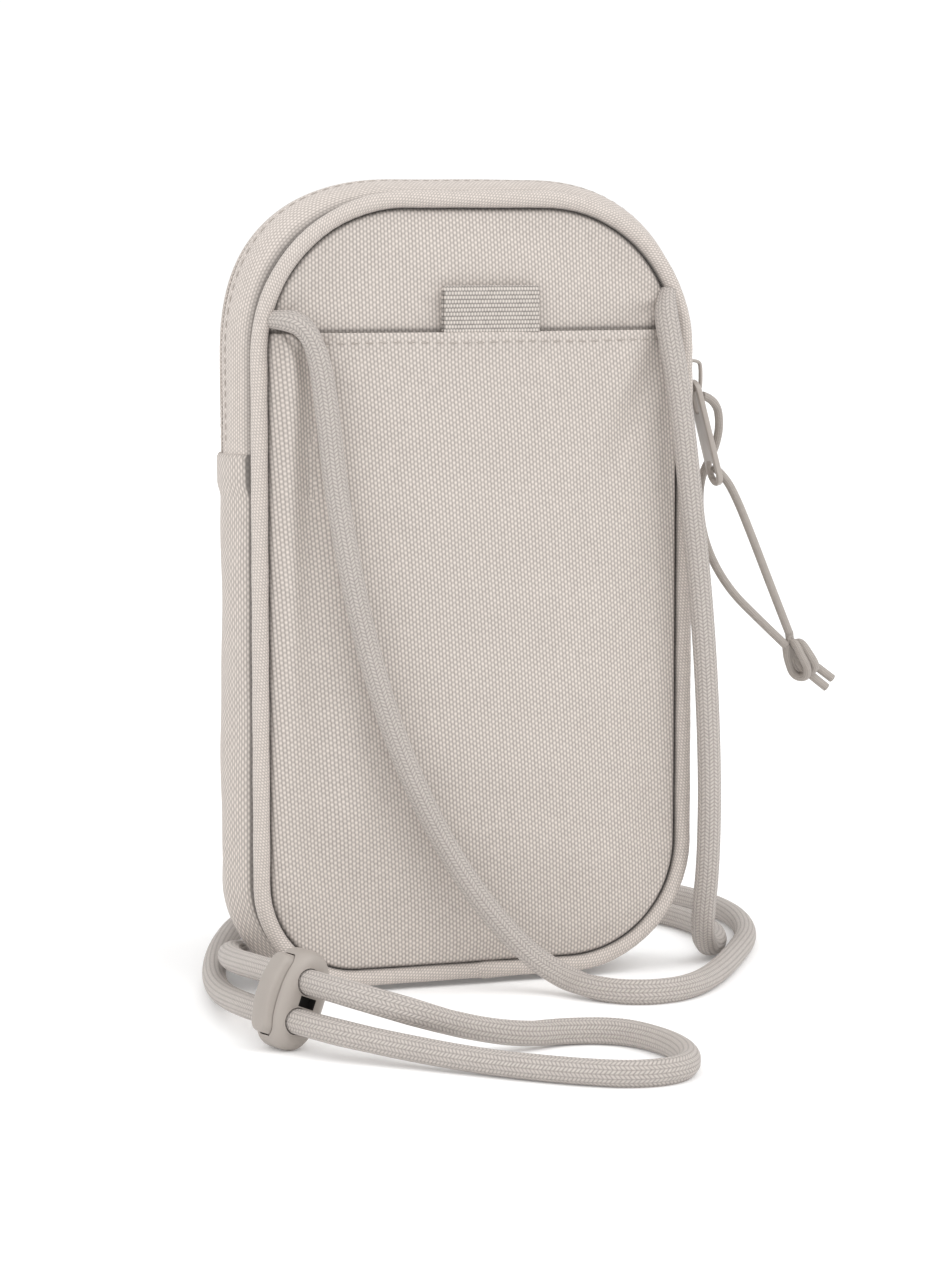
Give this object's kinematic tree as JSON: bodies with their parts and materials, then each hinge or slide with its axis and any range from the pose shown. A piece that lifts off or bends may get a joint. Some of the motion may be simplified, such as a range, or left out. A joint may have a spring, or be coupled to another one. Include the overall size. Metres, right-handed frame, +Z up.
{
  "type": "neck pouch wallet",
  "caption": "Slim upright fabric neck pouch with a zipped main compartment, rear slip pocket, webbing tab, piped edges, braided neck cord, cord lock and knotted zip pull.",
  "frame": {"origin": "middle of the flat base that the pouch stands on", "axes": "+Z is up along the pouch's height; -Y is the body side with the slip pocket and the webbing tab; +X is to the right seen from that side, the side of the zip pull"},
  "size_m": [0.1832, 0.2508, 0.2025],
  "materials": {
    "body_fabric": "matte plain-weave polyester, warm pale greige",
    "gusset_fabric": "matte fine-weave polyester, warm pale greige",
    "lining": "thin matte woven lining",
    "foam": "thin soft foam",
    "zip_tape": "woven zipper tape",
    "zip_coil": "satin nylon coil",
    "zip_metal": "satin painted zinc",
    "piping_fabric": "bias-cut woven cover",
    "piping_core": "flexible filler cord",
    "webbing": "ribbed woven webbing",
    "pull_cord": "fine braided cover",
    "neck_cord": "tubular braided polyester",
    "lock_plastic": "satin moulded plastic, greige",
    "spring_steel": "bright spring wire"
  },
  "bodies": {
    "pouch": {"card_slots": "lining", "cord_anchor_left": "neck_cord", "cord_anchor_right": "neck_cord", "front_foam": "foam", "front_lining": "lining", "front_panel": "body_fabric", "front_piping": "piping_fabric", "front_piping_core": "piping_core", "inner_divider": "lining", "lower_gusset": "body_fabric", "lower_gusset_lining": "lining", "neck_cord": "neck_cord", "rear_foam": "foam", "rear_lining": "lining", "rear_panel": "body_fabric", "rear_piping": "piping_fabric", "rear_piping_core": "piping_core", "slip_pocket_hem": "body_fabric", "slip_pocket_panel": "body_fabric", "webbing_tab": "webbing", "zip_coil_front": "zip_coil", "zip_coil_rear": "zip_coil", "zip_gusset_front": "gusset_fabric", "zip_gusset_rear": "gusset_fabric", "zip_stops": "zip_metal", "zip_tape_front": "zip_tape", "zip_tape_rear": "zip_tape"},
    "slider": {"zip_slider": "zip_metal"},
    "pull": {"zip_pull": "zip_metal", "pull_cord_a": "pull_cord", "pull_cord_b": "pull_cord", "pull_knot": "pull_cord"},
    "lock": {"lock_body": "lock_plastic", "lock_spring": "spring_steel"},
    "lock_head": {"lock_button": "lock_plastic"}
  },
  "joints": [
    {"name": "slider_run", "type": "slide", "parent": "pouch", "child": "slider", "axis": [0, 0, 1], "range_m": [-0.009, 0.003]},
    {"name": "pull_hinge", "type": "hinge", "parent": "slider", "child": "pull", "pos_m": [0.0642, 0, 0.1505], "axis": [0, 1, 0], "range_deg": [-75, 4]},
    {"name": "lock_run", "type": "slide", "parent": "pouch", "child": "lock", "axis": [0.28, -0.96, 0], "range_m": [-0.004, 0.003]},
    {"name": "lock_press", "type": "slide", "parent": "lock", "child": "lock_head", "axis": [0.8901, 0.2596, -0.3746], "range_m": [0, 0.0013], "stiffness_N_per_m": 1500, "springref_m": -0.002}
  ]
}
